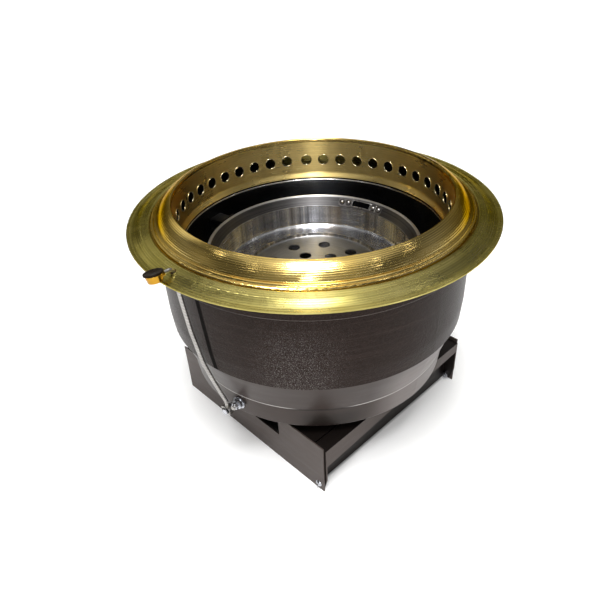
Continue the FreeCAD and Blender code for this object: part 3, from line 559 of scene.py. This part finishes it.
# weld beads between the deck and the plates, and where the lip meets its end tabs
beads = []
for x_, y_, z_, l_ in ((0.107, -0.1200, 0.0627, 0.0035), (-0.100, -0.1200, 0.0627, 0.0035), (0.107, 0.1240, 0.0627, 0.0035), (-0.100, 0.1240, 0.0627, 0.0035),
                       (0.060, -0.1200, 0.0627, 0.004), (-0.060, -0.1200, 0.0627, 0.004)):
    pts = [Vector((x_ + l_ * (i / 6.0 - 0.5), y_, z_)) for i in range(7)]
    v_, f_ = tube_along(pts, 0.0007, 8, closed=False)
    v_ = [q + Vector((0.0, 0.0, 0.00022 * math.sin(9.0 * i))) for i, q in enumerate(v_)]
    beads.append((v_, f_))
build("weld_beads", beads, weld, "casing")

# ------------------------------------------------------------------ floor and light
bpy.ops.mesh.primitive_plane_add(size=30.0, location=(0, 0, 0))
floor = bpy.context.object
floor.name = "floor"
fn = Nodes("floor_pale")
# painted shadow: beneath the base the floor is dark and does not glow; elsewhere it glows faintly and evenly
outside = fn.rng(fn.m("MAXIMUM", fn.m("ABSOLUTE", fn.x), fn.m("ABSOLUTE", fn.y)), 0.112, 0.119, 0, 1, True)
fn.set(Base_Color=fn.mix(outside, (0.10, 0.10, 0.10), (0.92, 0.92, 0.92)), Roughness=0.9, Emission_Color=(1.0, 1.0, 1.0, 1),
       Emission_Strength=fn.m("MULTIPLY", outside, 0.14))
floor.data.materials.append(fn.mat)

world = bpy.data.worlds.new("studio")
scene.world = world
world.use_nodes = True
W = world.node_tree
W.nodes.clear()


def unit(az, el):
    a, b = math.radians(az), math.radians(el)
    return (math.cos(b) * math.cos(a), math.cos(b) * math.sin(a), math.sin(b))


def wmath(op, a, b=0.0, c=0.0):
    n = W.nodes.new("ShaderNodeMath")
    n.operation = op
    for s, v in zip(n.inputs, (a, b, c)):
        if isinstance(v, bpy.types.NodeSocket):
            W.links.new(v, s)
        else:
            s.default_value = v
    return n.outputs[0]


wtc = W.nodes.new("ShaderNodeTexCoord")
wdir = wtc.outputs["Generated"]
wsep = W.nodes.new("ShaderNodeSeparateXYZ")
W.links.new(wdir, wsep.inputs[0])


def patch(az, el, half, strength, soft=1.0):
    """Soft round bright patch of the surroundings: full inside half degrees, gone at (1 + soft) * half."""
    dot = W.nodes.new("ShaderNodeVectorMath")
    dot.operation = "DOT_PRODUCT"
    W.links.new(wdir, dot.inputs[0])
    dot.inputs[1].default_value = unit(az, el)
    n = W.nodes.new("ShaderNodeMapRange")
    n.interpolation_type = "SMOOTHSTEP"
    n.inputs["From Min"].default_value = math.cos(math.radians(min(half * (1 + soft), 179)))
    n.inputs["From Max"].default_value = math.cos(math.radians(half))
    n.inputs["To Min"].default_value = 0.0
    n.inputs["To Max"].default_value = strength
    W.links.new(dot.outputs["Value"], n.inputs["Value"])
    return n.outputs["Result"]


wn = W.nodes.new("ShaderNodeTexNoise")
wn.inputs["Scale"].default_value = 1.6
wn.inputs["Detail"].default_value = 2.0
W.links.new(wdir, wn.inputs["Vector"])
level = wmath("MULTIPLY_ADD", wn.outputs[0], 0.22, 0.0)
for az, el, half, strength, soft in (
        (137, 40, 12, 0.26, 1.2),    # wall opposite the camera
        (137, 49, 4, 1.3, 3.0),      # bright light in it
        (0, 88, 16, 0.62, 1.6),      # ceiling
        (-45, 62, 10, 0.45, 2.0),
        (-140, 12, 12, 0.12, 1.5),   # pale surroundings left and right, seen at grazing angles
        (48, 12, 12, 0.08, 1.5),
        (-45, 20, 16, 0.12, 2.0),
        (178, 33, 7, 0.70, 1.0),     # lamp on the left, seen in the roll's front left
):
    level = wmath("ADD", level, patch(az, el, half, strength, soft))
# small ceiling lights
for az, el, half, strength in ((-72, 58, 1.6, 9), (-20, 60, 1.6, 8), (-100, 50, 1.6, 8), (10, 48, 1.6, 8), (-150, 52, 1.4, 7), (55, 50, 1.4, 7),
                               (112, 41, 1.2, 3), (121, 33, 1.0, 3), (152, 40, 1.2, 4), (95, 55, 1.4, 3), (175, 58, 1.4, 6)):
    level = wmath("ADD", level, patch(az, el, half, strength, 0.6))
low = W.nodes.new("ShaderNodeMapRange")
low.inputs["From Min"].default_value = -0.05
low.inputs["From Max"].default_value = 0.06
low.inputs["To Min"].default_value = 0.15
low.inputs["To Max"].default_value = 0.0
W.links.new(wsep.outputs[2], low.inputs["Value"])
level = wmath("ADD", level, low.outputs["Result"])
wcol = W.nodes.new("ShaderNodeCombineColor")
W.links.new(wmath("MULTIPLY", level, 1.0), wcol.inputs[0])
W.links.new(wmath("MULTIPLY", level, 0.99), wcol.inputs[1])
W.links.new(wmath("MULTIPLY", level, 0.96), wcol.inputs[2])
wo = W.nodes.new("ShaderNodeOutputWorld")
bg = W.nodes.new("ShaderNodeBackground")
W.links.new(wcol.outputs[0], bg.inputs[0])
bg.inputs[1].default_value = 1.0
# behind the floor's far edge the background is pale, like the floor
lp = W.nodes.new("ShaderNodeLightPath")
seen = W.nodes.new("ShaderNodeBackground")
seen.inputs[0].default_value = (0.93, 0.93, 0.93, 1)
both = W.nodes.new("ShaderNodeMixShader")
W.links.new(lp.outputs["Is Camera Ray"], both.inputs[0])
W.links.new(bg.outputs[0], both.inputs[1])
W.links.new(seen.outputs[0], both.inputs[2])
W.links.new(both.outputs[0], wo.inputs[0])


def area(name, az, el, dist, sx, sy, power, target=(0, 0, 0.2), colour=(1, 1, 1), spread=180):
    d = bpy.data.lights.new(name, "AREA")
    d.shape = "RECTANGLE"
    d.size, d.size_y = sx, sy
    d.energy = power
    d.color = colour
    d.spread = math.radians(spread)
    o = bpy.data.objects.new(name, d)
    scene.collection.objects.link(o)
    t = Vector(target)
    p = t + dist * Vector(unit(az, el))
    o.location = p
    o.rotation_euler = (t - p).to_track_quat("-Z", "Y").to_euler()
    return o


def sun(name, az, el, strength, angle):
    d = bpy.data.lights.new(name, "SUN")
    d.energy = strength
    d.angle = math.radians(angle)
    o = bpy.data.objects.new(name, d)
    scene.collection.objects.link(o)
    o.rotation_euler = (-Vector(unit(az, el))).to_track_quat("-Z", "Y").to_euler()
    return o


sun("overhead", -50, 76, 2.9, 22)
area("streak", -46, 52, 1.6, 0.13, 0.5, 3.0)
area("front_low", -49, 14, 1.3, 0.12, 0.30, 3.0, target=(0, 0, 0.18))
